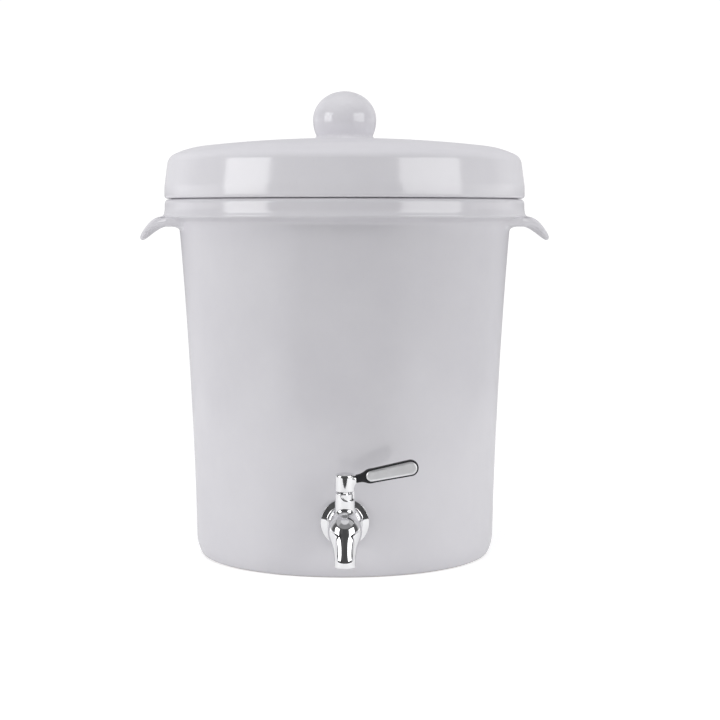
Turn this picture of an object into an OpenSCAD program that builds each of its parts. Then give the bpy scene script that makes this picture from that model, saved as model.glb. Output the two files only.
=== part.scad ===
// Glazed stoneware water crock with a lift-off lid, a clay filter pot and a quarter-turn lever tap.
// Millimetres. +Z is up and -Y is the tap side. The origin is the centre of the foot, on the ground.
// Turned outlines are lists of [radius, height] points.
// Tap pieces are placed by u, the distance from the crock's axis along -Y, and by their height.

/* [Crock] */
// Diameter of the flat foot
foot_d = 211; // [205:1:214]
// Diameter of the wall if it ran straight down to the ground
wall_low_d = 218.2; // [217:0.2:221]
// Diameter of the wall under the rim
wall_top_d = 241.8; // [238:0.2:244]
// How far the wall sags inwards from a straight taper at mid height
wall_sag = 2; // [0:0.5:3]
// Height of the corner where the wall meets the underside of the rim
wall_top_z = 243.4; // [242:0.2:244]
// Thickness of the wall
wall_t = 8; // [7:0.5:9]
// Thickness of the floor
floor_t = 10; // [8:1:12]
// Height of the rim's flat top, which carries the lid
rim_z = 259.4; // [259:0.2:261]
// Diameter across the rim's lower lip
lip_d = 264.6; // [264:0.2:266]
// Diameter of the mouth
mouth_d = 226.8; // [226:0.2:227.4]

/* [Lugs] */
// Overall width across the tips of the two lugs
lug_span = 300; // [296:1:304]
// Thickness of the flat root of a lug
lug_t = 6.2; // [5:0.2:7]
// Radius of a lug's round outline, seen from above
lug_lobe_r = 38; // [32:1:40]
// How steeply the outer part of a lug hangs down
lug_droop = 52; // [45:1:56]

/* [Lid] */
// Height of the lid's dome on the axis, hidden under the knob
dome_z = 303.5; // [302:0.5:306]
// Diameter of the lid near its lower edge
lid_d = 262.6; // [262:0.2:263]
// Thickness of the lid
lid_t = 7.5; // [7:0.5:8]
// Height of the top of the knob, which is the overall height
knob_top_z = 338; // [336:0.5:342]
// Diameter of the knob
knob_d = 46.2; // [42:0.2:50]

/* [Filter] */
// Height of the underside of the clay pot
pot_bottom_z = 100; // [96:1:140]
// Thickness of the clay pot
pot_t = 13; // [11:1:15]
// Diameter of the clay pot where it passes through the carrier ring
pot_d = 211; // [205:1:211]

/* [Tap] */
// Height of the tap's inlet axis
tap_z = 39.5; // [38:0.5:45]
// Diameter of the shank's thread
shank_d = 16; // [15:0.5:16]
// Diameter of the hole in the crock
tap_hole_d = 17; // [16.8:0.2:18]
// Distance of the stem's axis from the crock's axis
stem_u = 134; // [134:0.5:136]
// Diameter of the escutcheon
escutcheon_d = 33.3; // [32:0.1:36]
// Diameter of the upright valve chamber and of the lever's cap
chamber_d = 13.3; // [13.3:0.1:14]
// Height of the top of the chamber's collar
collar_z = 63.6; // [63.6:0.2:65]
// Height of the spout's outlet
outlet_z = 16.8; // [14:0.2:18]
// Diameter of the bore at the outlet
outlet_bore_d = 10; // [9:0.2:10.4]
// Diameter of the valve ball
ball_d = 12.5; // [12.3:0.1:12.6]
// Diameter of the port through the ball
port_d = 7; // [5:0.5:7.5]

/* [Lever] */
// How far the lever turns from closed to open, in degrees
lever_turn = 90; // [60:5:90]
// Upward tilt of the lever, in degrees
lever_tilt = 11.5; // [8:0.5:14]
// Distance of the middle of the lever's round end from the stem's axis
lever_len = 44.6; // [40:0.2:60]
// Thickness of the lever's sleeve
sleeve_t = 6; // [6:0.2:8]

/* [Hidden] */
$fn = 96;

// Running clearance between turning parts, and a sliver that keeps cuts clean
clearance = 0.05;
cut = 0.5;

// Crock
foot_curve_h = 14;
cone_top_z = 70;
inner_floor_r = 14;
rim_edge_r = 3;
mouth_edge_r = 2.5;
mouth_low_z = 240;
foot_r = foot_d / 2;
foot_chamfer = 0.8;
cove_r = 2.5;
lip_z = 247.6;
lip_edge_r = 1.6;
rim_side_r = lip_d / 2 - 1.2;

// Lid, as arcs whose angles are measured from straight up
dome_r = 900;
dome_a = asin(105 / dome_r);
shoulder_r = 60;
shoulder_a = 26;
corner_r = 8.5;
side_a = 82.2;
lid_edge_r = 2.2;
knob_mid_z = 317.2;
knob_foot_z = 303.8;
knob_foot_r = 21.2;
knob_neck_r = 20.2;

// Filter
ring_t = 3;
ring_d = 243;
ring_skirt_h = 12;
gasket_t = 2;
pot_flange_d = 236;
pot_flange_h = 12.5;
pot_low_r = 97;
pot_floor_t = 14;
pot_flange_z = rim_z + ring_t + gasket_t;

// Tap, outwards from the inside of the crock
shank_r = shank_d / 2;
shank_bore_r = 5;
shank_in_u = 84;
seat_t = 3.6;
seat_r = 7.15;
cavity_r = seat_r + clearance;
seat_reach = 4;
seat_bore_r = 4;
shank_out_u = stem_u - seat_reach - seat_t;
cavity_out_u = stem_u + seat_reach + seat_t;
barrel_in_u = 120;
barrel_r = 10;
gasket_r = 13;
gasket_out_u = 112;
gasket_in_u = 99.4;
washer_t = 1.5;
nut_t = 8;
nut_flats = 24;
thread_pitch = 1.5;
thread_depth = 0.9;

// Bent body of the tap: middle of each ball-shaped bend as [u, z], and its radius
elbow = [stem_u + 7, tap_z];
elbow_r = 11.5;
bend = [stem_u + 17.5, tap_z - 11.5];
bend_r = 7.9;
mouth_r = 7;
outlet_bore_len = 8;

// Stem and lever
chamber_r = chamber_d / 2;
stem_bore_r = 5.25;
stem_low_z = 46.9;
stem_step_z = 57;
stem_low_r = stem_bore_r - 0.07;
stem_high_r = 3;
stem_top_z = 74;
stem_flat = 2.75;
tang = [2.4, 7, 3.2];
slot_depth = 2.2;
washer_h = 0.6;
gland_h = 5;
o_ring_zs = [49.8, 53.4];
o_ring_r = 0.75;
notch_z = 59.2;
tab_z = 59.5;
tab_from = -25;
tab_to = 15;
stop_play = 2;
cap_z = collar_z + 1;
cap_top_z = 76;
cap_crown = 1.2;
grub_z = 70.5;
grub_r = 1.5;
lever_z = 71.3;
sleeve_start = 7.4;
paddle_start = 17.5;
paddle_root_r = 4.65;
paddle_tip_r = 5.4;
plate_border = 0.95;
plate_start = 18.2;
plate_t = 1;
core = [34, 2.4, 3.6];

// Radius of the crock's outside at a height
function wall_r(z) =
    let (t = z / wall_top_z)
    wall_low_d / 2 + (wall_top_d - wall_low_d) / 2 * t - 4 * wall_sag * t * (1 - t);

// Radius of the straight cone between the foot's curve and cone_top_z, which the tap clamps on
function cone_r(z) =
    let (t = (z - foot_curve_h) / (cone_top_z - foot_curve_h))
    wall_r(foot_curve_h) + (wall_r(cone_top_z) - wall_r(foot_curve_h)) * t;

// Points of an arc about c. Angles run from straight up towards +r.
function arc(c, r, from, to, n) =
    [for (i = [0:n]) let (a = from + (to - from) * i / n) c + r * [sin(a), cos(a)]];

// Points of an ellipse about c, with the same angles
function oval(c, half_w, half_h, from, to, n) =
    [for (i = [0:n]) let (a = from + (to - from) * i / n) c + [half_w * sin(a), half_h * cos(a)]];

// Centre of the arc that runs on, without a kink, from an arc about c of radius r_from at angle a
function next_centre(c, r_from, r_to, a) = c + (r_from - r_to) * [sin(a), cos(a)];

// Outline of two circles on the X axis and their outer tangents
function paddle(x0, r0, x1, r1, n) =
    let (a = asin((r1 - r0) / (x1 - x0)))
    concat(
        [for (i = [0:n]) let (b = -90 - a + (180 + 2 * a) * i / n) [x1 + r1 * cos(b), r1 * sin(b)]],
        [for (i = [0:n]) let (b = 90 + a + (180 - 2 * a) * i / n) [x0 + r0 * cos(b), r0 * sin(b)]]
    );

// Places children with their +Z axis pointing out of the tap side, at distance u and height z
module outward(u, z = tap_z) {
    translate([0, -u, z]) rotate([90, 0, 0]) children();
}

// A ring about +Z, from 0 up to h
module ring(r_out, r_in, h) {
    difference() {
        cylinder(h = h, r = r_out);
        translate([0, 0, -cut]) cylinder(h = h + 2 * cut, r = r_in);
    }
}

// A straight limb between two points [u, z] of the tap's upright plane, with flat ends
module limb(p0, r0, p1, r1) {
    run = p1 - p0;
    translate([0, -p0[0], p0[1]])
        rotate([90 + atan2(-run[1], run[0]), 0, 0]) cylinder(h = norm(run), r1 = r0, r2 = r1);
}

// A wedge about +Z between two angles, less than 180 degrees apart
module wedge(from, to, r, h) {
    mid = (from + to) / 2;
    linear_extrude(height = h)
        polygon([[0, 0], for (a = [from, mid, to]) r * [cos(a), sin(a)]]);
}

// The crock's straight cone, set in from the outside by inset
module tap_cone(inset) {
    translate([0, 0, foot_curve_h])
        cylinder(
            h = cone_top_z - foot_curve_h,
            r1 = cone_r(foot_curve_h) - inset,
            r2 = cone_r(cone_top_z) - inset,
            $fn = 720
        );
}

// One lug: a bent plate turned about the crock's axis and trimmed to a round lobe
module lug() {
    tip_r = lug_span / 2;
    top_z = 246.4;
    bend_out_r = 10;
    plate_r = 2.5;
    bend_c = [134, top_z - bend_out_r];
    tip_c = [tip_r - plate_r, 231];
    intersection() {
        rotate_extrude()
            polygon(concat(
                [[mouth_d / 2 + 2, top_z]],
                arc(bend_c, bend_out_r, 0, lug_droop, 5),
                arc(tip_c, plate_r, lug_droop, lug_droop + 180, 8),
                arc(bend_c, bend_out_r - lug_t, lug_droop, 0, 5),
                [[mouth_d / 2 + 2, top_z - lug_t]]
            ));
        translate([tip_r - lug_lobe_r, 0, 200]) cylinder(h = 80, r = lug_lobe_r);
    }
}

module crock_solid() {
    curve_dr = wall_r(foot_curve_h) - foot_r;
    curve_r = (foot_curve_h * foot_curve_h + curve_dr * curve_dr) / (2 * curve_dr);
    curve_c = [wall_r(foot_curve_h) - curve_r, foot_curve_h];
    start_a = 90 + asin((foot_curve_h - foot_chamfer) / curve_r);
    inner_low_z = floor_t + inner_floor_r;
    inner_low_r = cone_r(inner_low_z) - wall_t;
    rotate_extrude()
        polygon(concat(
            [[0, 0], [foot_r - foot_chamfer, 0]],
            arc(curve_c, curve_r, start_a, 90, 5),
            [for (z = [cone_top_z, 110, 150, 190, 225]) [wall_r(z), z]],
            arc([wall_top_d / 2 + cove_r, wall_top_z - 2], cove_r, 270, 350, 4),
            arc([lip_d / 2 - lip_edge_r, lip_z], lip_edge_r, 165, 90, 4),
            [[rim_side_r, lip_z + 5]],
            arc([rim_side_r - rim_edge_r, rim_z - rim_edge_r], rim_edge_r, 90, 0, 5),
            arc([mouth_d / 2 + mouth_edge_r, rim_z - mouth_edge_r], mouth_edge_r, 0, -90, 5),
            [[mouth_d / 2, mouth_low_z]],
            [for (z = [225, 190, 150, 110, cone_top_z]) [wall_r(z) - wall_t, z]],
            arc([inner_low_r - inner_floor_r, inner_low_z], inner_floor_r, 90, 180, 6),
            [[0, floor_t]]
        ));
}

module crock() {
    color("#d9d6dd")
        difference() {
            union() {
                crock_solid();
                lug();
                mirror([1, 0, 0]) lug();
            }
            outward(0) cylinder(h = 200, d = tap_hole_d);
        }
}

module lid() {
    lid_r = lid_d / 2;
    dome_c = [0, dome_z - dome_r];
    shoulder_c = next_centre(dome_c, dome_r, shoulder_r, dome_a);
    corner_c = next_centre(shoulder_c, shoulder_r, corner_r, shoulder_a);
    skirt_low_r = lid_r - lid_t + 0.7;
    color("#dedbe2")
        rotate_extrude()
            polygon(concat(
                oval([0, knob_mid_z], knob_d / 2, knob_top_z - knob_mid_z, 0, 90, 12),
                oval([0, knob_mid_z], knob_d / 2, 25, 97, 119, 4),
                [[knob_neck_r, knob_foot_z + 0.6], [knob_foot_r, knob_foot_z]],
                [[knob_foot_r + 0.5, knob_foot_z - 0.8]],
                arc(dome_c, dome_r, 1.6, dome_a, 5),
                arc(shoulder_c, shoulder_r, dome_a + 4, shoulder_a, 5),
                arc(corner_c, corner_r, shoulder_a + 8, side_a, 6),
                [[lid_r - 0.1, 269], [lid_r, 266]],
                arc([lid_r - lid_edge_r, rim_z + lid_edge_r], lid_edge_r, 90, 180, 4),
                [[skirt_low_r, rim_z]],
                arc(corner_c - [4.5, 0], corner_r - 2.5, side_a, shoulder_a, 5),
                arc(dome_c, dome_r - lid_t, dome_a, 0, 6)
            ));
}

module filter_ring() {
    skirt_t = 2.4;
    skirt_r = mouth_d / 2 - 0.4;
    color("#e8e8e6")
        rotate_extrude()
            polygon([
                [pot_d / 2 + 1, rim_z + ring_t],
                [ring_d / 2 - 0.6, rim_z + ring_t],
                [ring_d / 2, rim_z + ring_t - 0.6],
                [ring_d / 2, rim_z],
                [skirt_r, rim_z],
                [skirt_r, rim_z - ring_skirt_h],
                [skirt_r - skirt_t, rim_z - ring_skirt_h],
                [skirt_r - skirt_t, rim_z],
                [pot_d / 2 + 1, rim_z],
            ]);
}

module filter_gasket() {
    color("#c9cbd0")
        translate([0, 0, rim_z + ring_t]) ring(pot_flange_d / 2 - 1, pot_d / 2 + 1.5, gasket_t);
}

module filter_pot() {
    edge_r = 3;
    foot_round = 12;
    flange_r = pot_flange_d / 2;
    flange_top = pot_flange_z + pot_flange_h;
    low_in_r = pot_low_r - pot_t;
    color("#b9694a")
        rotate_extrude()
            polygon(concat(
                [[0, pot_bottom_z]],
                arc([pot_low_r - foot_round, pot_bottom_z + foot_round], foot_round, 180, 92, 6),
                [[pot_d / 2, pot_flange_z], [flange_r, pot_flange_z]],
                arc([flange_r - edge_r, flange_top - edge_r], edge_r, 90, 0, 4),
                arc([pot_d / 2 - pot_t + edge_r, flange_top - edge_r], edge_r, 0, -90, 4),
                arc([low_in_r - 8, pot_bottom_z + pot_floor_t + 8], 8, 92, 180, 5),
                [[0, pot_bottom_z + pot_floor_t]]
            ));
}

module tap_body() {
    color("#cfd2d6")
        difference() {
            union() {
                outward(barrel_in_u)
                    cylinder(h = elbow[0] - barrel_in_u, r1 = barrel_r, r2 = elbow_r - 0.4);
                translate([0, -elbow[0], elbow[1]]) sphere(r = elbow_r);
                limb(elbow, elbow_r - 0.5, bend, bend_r - 0.3);
                translate([0, -bend[0], bend[1]]) sphere(r = bend_r);
                translate([0, -bend[0], outlet_z])
                    cylinder(h = bend[1] - outlet_z, r1 = mouth_r, r2 = bend_r - 0.4);
                translate([0, -stem_u, tap_z]) cylinder(h = collar_z - tap_z, r = chamber_r);
            }
            outward(0)
                rotate_extrude()
                    polygon([
                        [0, barrel_in_u - cut],
                        [shank_r + clearance, barrel_in_u - cut],
                        [shank_r + clearance, shank_out_u],
                        [cavity_r, shank_out_u],
                        [cavity_r, cavity_out_u],
                        [seat_bore_r, cavity_out_u],
                        [seat_bore_r, cavity_out_u + 4],
                        [0, cavity_out_u + 6],
                    ]);
            limb([143.5, 40], 4.2, bend - [0, 3.5], 4.2);
            translate([0, -bend[0], outlet_z - cut])
                cylinder(h = outlet_bore_len + cut, d = outlet_bore_d);
            translate([0, -stem_u, tap_z]) cylinder(h = collar_z, r = stem_bore_r);
            translate([0, -stem_u, notch_z])
                wedge(tab_from - lever_turn - stop_play, tab_to + stop_play, 12, 10);
        }
}

// A shank with ring-shaped threads and a through bore
module tap_shank() {
    ridges = floor((shank_out_u - shank_in_u - 4) / thread_pitch);
    thread = [for (i = [0:ridges - 1]) each [
        [shank_r - thread_depth, 2 + i * thread_pitch],
        [shank_r, 2 + (i + 0.5) * thread_pitch],
    ]];
    length = shank_out_u - shank_in_u;
    color("#bfc2c6")
        outward(shank_in_u)
            rotate_extrude()
                polygon(concat(
                    [[shank_bore_r, 0], [shank_r - thread_depth, 0]],
                    thread,
                    [[shank_r - thread_depth, length], [shank_bore_r, length]]
                ));
}

module escutcheon() {
    r = escutcheon_d / 2;
    back_u = gasket_out_u - 1.2;
    edge_t = 1.5;
    cove = 5;
    neck_r = barrel_r + 0.6;
    color("#d4d7da")
        outward(0)
            rotate_extrude()
                polygon(concat(
                    [[tap_hole_d / 2, gasket_out_u], [gasket_r + 0.2, gasket_out_u]],
                    [[gasket_r + 0.2, back_u], [r - 0.5, back_u], [r, back_u + 0.5]],
                    [[r, back_u + edge_t], [r - 0.5, back_u + edge_t + 0.6]],
                    arc([neck_r + cove, barrel_in_u], cove, 230, 270, 5),
                    [[tap_hole_d / 2, barrel_in_u]]
                ));
}

module outer_gasket() {
    color("#e4e4e2")
        difference() {
            outward(100) ring(gasket_r, tap_hole_d / 2, gasket_out_u - 100);
            tap_cone(0);
        }
}

module inner_gasket() {
    color("#e4e4e2")
        intersection() {
            outward(gasket_in_u) ring(gasket_r, tap_hole_d / 2, 10);
            tap_cone(wall_t);
        }
}

module tap_washer() {
    color("#c4c7cb")
        outward(gasket_in_u - washer_t) ring(gasket_r, tap_hole_d / 2, washer_t);
}

module tap_nut() {
    bevel = 1;
    color("#c0c3c7")
        outward(gasket_in_u - washer_t - nut_t)
            difference() {
                intersection() {
                    cylinder(h = nut_t, d = nut_flats / cos(30), $fn = 6);
                    union() {
                        cylinder(h = bevel, r1 = nut_flats / 2, r2 = nut_flats / 2 / cos(30));
                        translate([0, 0, bevel]) cylinder(h = nut_t, r = nut_flats / 2 / cos(30));
                    }
                }
                translate([0, 0, -cut]) cylinder(h = nut_t + 2 * cut, r = shank_r + clearance);
            }
}

module valve_ball() {
    color("#dcdfe2")
        translate([0, -stem_u, tap_z])
            difference() {
                sphere(d = ball_d);
                translate([-ball_d, 0, 0]) rotate([0, 90, 0]) cylinder(h = 2 * ball_d, d = port_d);
                translate([-tang[0] / 2 - clearance, -ball_d, ball_d / 2 - slot_depth])
                    cube([tang[0] + 2 * clearance, 2 * ball_d, ball_d]);
            }
}

// The two cupped rings that the ball turns between
module valve_seats() {
    color("#f2f2ee")
        difference() {
            for (u = [shank_out_u, stem_u + seat_reach]) outward(u) ring(seat_r, seat_bore_r, seat_t);
            translate([0, -stem_u, tap_z]) sphere(r = ball_d / 2 + clearance);
        }
}

module valve_stem() {
    color("#c8cbcf")
        translate([0, -stem_u, 0])
            difference() {
                union() {
                    translate([-tang[0] / 2, -tang[1] / 2, stem_low_z - tang[2]])
                        cube([tang[0], tang[1], tang[2] + 1]);
                    translate([0, 0, stem_low_z]) cylinder(h = stem_step_z - stem_low_z, r = stem_low_r);
                    translate([0, 0, stem_step_z - 1])
                        cylinder(h = stem_top_z - stem_step_z + 1, r = stem_high_r);
                }
                for (z = o_ring_zs)
                    translate([0, 0, z])
                        rotate_extrude() translate([stem_bore_r - clearance - o_ring_r, 0])
                            circle(r = o_ring_r);
                translate([-5, stem_flat, grub_z - 3]) cube([10, 5, 20]);
            }
}

module stem_o_rings() {
    color("#26262a")
        for (z = o_ring_zs)
            translate([0, -stem_u, z])
                rotate_extrude() translate([stem_bore_r - clearance - o_ring_r, 0]) circle(r = o_ring_r);
}

module thrust_washer() {
    color("#f2f2ee")
        translate([0, -stem_u, stem_step_z])
            ring(stem_bore_r - clearance, stem_high_r + clearance, washer_h);
}

// The screwed bush that holds the stem down, with two holes for a pin spanner
module gland_nut() {
    color("#b8bbc0")
        translate([0, -stem_u, stem_step_z + washer_h])
            difference() {
                ring(stem_bore_r - clearance, stem_high_r + clearance, gland_h);
                for (side = [-1, 1])
                    translate([side * 4.15, 0, gland_h - 2]) cylinder(h = 3, r = 0.6);
            }
}

// Places children in the lever's own frame: +X runs along the lever from the stem's axis
module on_lever() {
    translate([0, -stem_u, lever_z]) rotate([0, -lever_tilt, 0]) children();
}

// The blade inside the sleeve that carries it
module lever_core() {
    translate([0, -core[1] / 2, -core[2] / 2]) cube(core);
}

// The cap, its arm and the stop tab that runs in the collar's notch
module lever_cap() {
    crown_r = (chamber_r * chamber_r + cap_crown * cap_crown) / (2 * cap_crown);
    edge_r = 1.2;
    color("#d6d9dc")
        difference() {
            union() {
                translate([0, -stem_u, 0]) {
                    rotate_extrude()
                        polygon(concat(
                            [[0, cap_z], [chamber_r - 0.4, cap_z], [chamber_r, cap_z + 0.4]],
                            arc([chamber_r - edge_r, cap_top_z - edge_r], edge_r, 90, 12, 4),
                            arc([0, cap_top_z + cap_crown - crown_r], crown_r, 16, 0, 4)
                        ));
                    intersection() {
                        translate([0, 0, tab_z]) ring(chamber_r, stem_bore_r + 0.15, cap_z - tab_z + 1);
                        translate([0, 0, tab_z]) wedge(tab_from, tab_to, 12, 12);
                    }
                }
                on_lever() {
                    translate([2, 0, 0]) rotate([0, 90, 0])
                        cylinder(h = sleeve_start - 2, r1 = 5.2, r2 = 2.2);
                    lever_core();
                }
            }
            translate([0, -stem_u, cap_z - cut])
                cylinder(h = stem_top_z - cap_z + 0.7, r = stem_high_r + clearance);
            translate([0, -stem_u, grub_z]) rotate([-90, 0, 0]) cylinder(h = 12, r = grub_r);
        }
}

module cap_grub_screw() {
    tip_r = 0.9;
    length = chamber_r - 0.5 - stem_flat;
    color("#5b5e63")
        translate([0, -stem_u + stem_flat, grub_z])
            rotate([-90, 0, 0])
                difference() {
                    union() {
                        cylinder(h = 0.6, r1 = tip_r, r2 = grub_r - clearance);
                        translate([0, 0, 0.6]) cylinder(h = length - 0.6, r = grub_r - clearance);
                    }
                    translate([0, 0, length - 1.6]) cylinder(h = 2, r = 0.8, $fn = 6);
                }
}

// Outline of the sleeve: a narrow neck that flares into the paddle
module sleeve_outline() {
    polygon(paddle(paddle_start, paddle_root_r, lever_len, paddle_tip_r, 12));
    polygon([
        [sleeve_start, -2.4], [10, -2.5], [12.2, -3.1], [14, -4], [paddle_start, -4.6],
        [paddle_start, 4.6], [14, 4], [12.2, 3.1], [10, 2.5], [sleeve_start, 2.4],
    ]);
}

// Outline of the plate, set in from the sleeve's by an even border
module plate_outline() {
    polygon(paddle(
        plate_start, paddle_root_r - plate_border,
        lever_len, paddle_tip_r - plate_border, 12
    ));
}

// Stands an outline of the XZ plane up, from front_y back by depth
module upright(front_y, depth) {
    translate([0, front_y + depth, 0]) rotate([90, 0, 0]) linear_extrude(height = depth) children();
}

module lever_sleeve() {
    color("#1e1d20")
        on_lever()
            difference() {
                upright(-sleeve_t / 2, sleeve_t) sleeve_outline();
                upright(-sleeve_t / 2 - cut, plate_t + cut) plate_outline();
                lever_core();
            }
}

module lever_plate() {
    color("#c9cbce")
        on_lever() upright(-sleeve_t / 2 - 0.1, plate_t + 0.1) plate_outline();
}

crock();
lid();
filter_ring();
filter_gasket();
filter_pot();
tap_body();
tap_shank();
escutcheon();
outer_gasket();
inner_gasket();
tap_washer();
tap_nut();
valve_ball();
valve_seats();
valve_stem();
stem_o_rings();
thrust_washer();
gland_nut();
lever_cap();
cap_grub_screw();
lever_sleeve();
lever_plate();
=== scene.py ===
"""Looks for a glazed stoneware water crock with a lift-off lid, a clay filter pot and a lever tap.

Shapes are worked out in millimetres and written to meshes in metres.
+Z is up and -Y is the tap side. The origin is the middle of the foot, on the ground.
Turned outlines are lists of (radius, height), and angles on them run from straight up towards +radius.
Tap pieces are placed by u, the distance from the crock's axis along -Y.
"""

import math

import bmesh
import bpy
import numpy as np
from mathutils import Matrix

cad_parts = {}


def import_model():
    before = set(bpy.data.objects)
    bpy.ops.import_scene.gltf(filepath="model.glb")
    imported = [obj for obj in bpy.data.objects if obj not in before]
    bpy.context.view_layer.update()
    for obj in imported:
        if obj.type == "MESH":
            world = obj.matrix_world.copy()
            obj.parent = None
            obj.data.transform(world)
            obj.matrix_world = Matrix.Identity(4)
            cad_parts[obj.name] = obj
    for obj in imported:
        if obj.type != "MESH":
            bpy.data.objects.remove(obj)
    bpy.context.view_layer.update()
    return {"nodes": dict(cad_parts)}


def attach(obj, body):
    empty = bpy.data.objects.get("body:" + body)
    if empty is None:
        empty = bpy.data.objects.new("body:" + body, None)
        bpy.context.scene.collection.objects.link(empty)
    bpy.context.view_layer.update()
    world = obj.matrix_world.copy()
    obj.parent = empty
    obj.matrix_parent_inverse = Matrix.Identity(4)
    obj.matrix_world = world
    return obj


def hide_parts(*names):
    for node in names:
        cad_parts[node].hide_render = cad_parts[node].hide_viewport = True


MM = 0.001
MICRON = 0.001 * MM

# Crock
FOOT_R = 105.5
FOOT_CURVE_H = 14.0
WALL_LOW_R = 109.1
WALL_TOP_R = 120.9
WALL_TOP_Z = 243.4
WALL_SAG = 2.0
WALL_T = 8.0
FLOOR_T = 10.0
RIM_Z = 259.4
MOUTH_R = 113.4
TAP_HOLE_R = 8.5
COLUMNS = 96
LUG_COLUMNS = 5
LOBE_CENTRE = 112.0

# Lid
DOME_Z = 303.5
DOME_R = 900.0
LID_R = 131.3
LID_T = 7.5
LID_CORNER_R = 8.5
LID_SIDE_ANGLE = 82.2
SHOULDER_R = 60.0
SHOULDER_ANGLE = 26.0
KNOB_R = 23.1
KNOB_Z = 317.2

# Filter
RING_TOP_Z = 262.4
POT_FLANGE_Z = 264.4
POT_BOTTOM_Z = 100.0

# Tap
TAP_Z = 39.5
STEM_U = 134.0
OUTLET_U = 151.5
OUTLET_Z = 16.8
# Along the middle of the tap body: distance u, height, radius, and how far the widest place of the
# section sits behind its middle
SPOUT_PATH = (
    (122.0, TAP_Z, 10.10, 0.0), (126.0, TAP_Z, 10.30, 0.0), (130.0, TAP_Z, 10.60, 0.0),
    (STEM_U, TAP_Z, 11.00, 0.0), (138.0, 39.4, 11.40, 0.2), (141.3, 38.3, 11.50, 0.8),
    (143.4, 35.4, 10.80, 1.5), (145.1, 32.5, 9.60, 2.1), (147.1, 29.5, 8.50, 2.5),
    (148.7, 26.5, 7.90, 2.4), (150.1, 23.5, 7.50, 1.9), (151.2, 21.0, 7.20, 0.8),
    (OUTLET_U, 18.7, 7.00, 0.0), (OUTLET_U, 16.0, 6.95, 0.0), (OUTLET_U, 13.0, 6.95, 0.0),
    (OUTLET_U, 10.0, 6.95, 0.0),
)
BARREL_FRONT_U = 127.0
CHAMBER_R = 6.65
COLLAR_Z = 63.6
CAP_Z = 77.2
LEVER_Z = 71.3
LEVER_TILT = math.radians(11.5)

# Camera, in metres and radians, with its lens and sensor in millimetres
CAMERA_PLACE = (0, -1.3051, 0.24854)
CAMERA_DOWN = 0.0820
CAMERA_TURN = -0.0086
LENS = 88.64
SENSOR_W = 36.0

# Studio
TABLE_FRONT = 573.0
TABLE_HALF = 750.0
TABLE_Z = -0.02
GLOW_TO_CAMERA = 0.50
GLOW_TO_OTHERS = 0.12
GLOW_TO_MIRRORS = 0.20
BACKGROUND = 1.05
SOFTBOX_AIM_Z = 170.0
# Degrees that a patch of light takes to fade, in elevation and in azimuth, on each side of its edge
SKY_SOFT = 3.0
AZIMUTH_SOFT = 11.0
# Patches of soft light: the azimuth of the middle, from the tap side towards +X, the half width,
# the lowest and highest elevation, the strength, and the strength that mirrors see
SKY = (
    (0, 40, -3, 14, 0.03, 0.08),
    (0, 28, 14, 42, 0.05, 0.08),
    (-44, 16, 14, 42, 0.15, 0.08),
    (44, 16, 14, 42, 0.30, 0.08),
    (0, 70, 42, 68, 1.12, 0.28),
    (0, 180, 68, 90, 1.85, 0.76),
    (-108, 22, -3, 5, 0.70, 0.90),
    (-83, 33, 2, 40, 0.66, 0.12),
    (108, 22, -3, 5, 0.60, 0.75),
    (83, 33, 2, 40, 0.36, 0.12),
    (180, 65, 0, 40, 0.40, 0.67),
    (180, 110, 42, 68, 0.40, 0.50),
    (0, 40, -90, -3, 0.02, 0.08),
    (-85, 45, -90, -3, 1.15, 0.60),
    (85, 45, -90, -3, 0.70, 0.46),
    (180, 50, -90, -3, 0.55, 0.69),
)


# ---------------------------------------------------------------- outlines


def arc(centre, radius, start, end, steps):
    """Points of an arc; angles in degrees from straight up towards +radius."""
    angles = np.radians(np.linspace(start, end, steps + 1))
    return [(centre[0] + radius * math.sin(a), centre[1] + radius * math.cos(a)) for a in angles]


def oval(centre, half_w, half_h, start, end, steps):
    """Points of an ellipse, with the same angles."""
    angles = np.radians(np.linspace(start, end, steps + 1))
    return [(centre[0] + half_w * math.sin(a), centre[1] + half_h * math.cos(a)) for a in angles]


def sine(degrees):
    return math.sin(math.radians(degrees))


def wall_r(z):
    """Radius of the crock's outside at a height."""
    t = z / WALL_TOP_Z
    return WALL_LOW_R + (WALL_TOP_R - WALL_LOW_R) * t - 4 * WALL_SAG * t * (1 - t)


def rounded(points, steps=5):
    """Rounds each corner of an open outline of (radius, height, corner radius) points."""
    nearly_straight = math.radians(88)
    most_of_side = 0.49
    lead = 0.3
    out = [points[0][:2]]
    for before, here, after in zip(points, points[1:], points[2:]):
        p = np.array(here[:2], float)
        back = np.array(before[:2]) - p
        on = np.array(after[:2]) - p
        radius = here[2]
        back_len, on_len = np.linalg.norm(back), np.linalg.norm(on)
        back, on = back / back_len, on / on_len
        half = math.acos(max(-1.0, min(1.0, float(back @ on)))) / 2
        if radius <= 0 or half > nearly_straight:
            out.append(tuple(p))
            continue
        reach = min(radius / math.tan(half), most_of_side * back_len, most_of_side * on_len)
        radius = reach * math.tan(half)
        middle = p + (back + on) / np.linalg.norm(back + on) * radius / math.sin(half)
        first, last = p + back * reach, p + on * reach
        a0 = math.atan2(first[1] - middle[1], first[0] - middle[0])
        a1 = math.atan2(last[1] - middle[1], last[0] - middle[0])
        turn = (a1 - a0 + math.pi) % (2 * math.pi) - math.pi
        out.append(tuple(first + back * lead * min(reach, back_len - reach)))
        for i in range(steps + 1):
            a = a0 + turn * i / steps
            out.append((middle[0] + radius * math.cos(a), middle[1] + radius * math.sin(a)))
        out.append(tuple(last + on * lead * min(reach, on_len - reach)))
    out.append(points[-1][:2])
    return out


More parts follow.
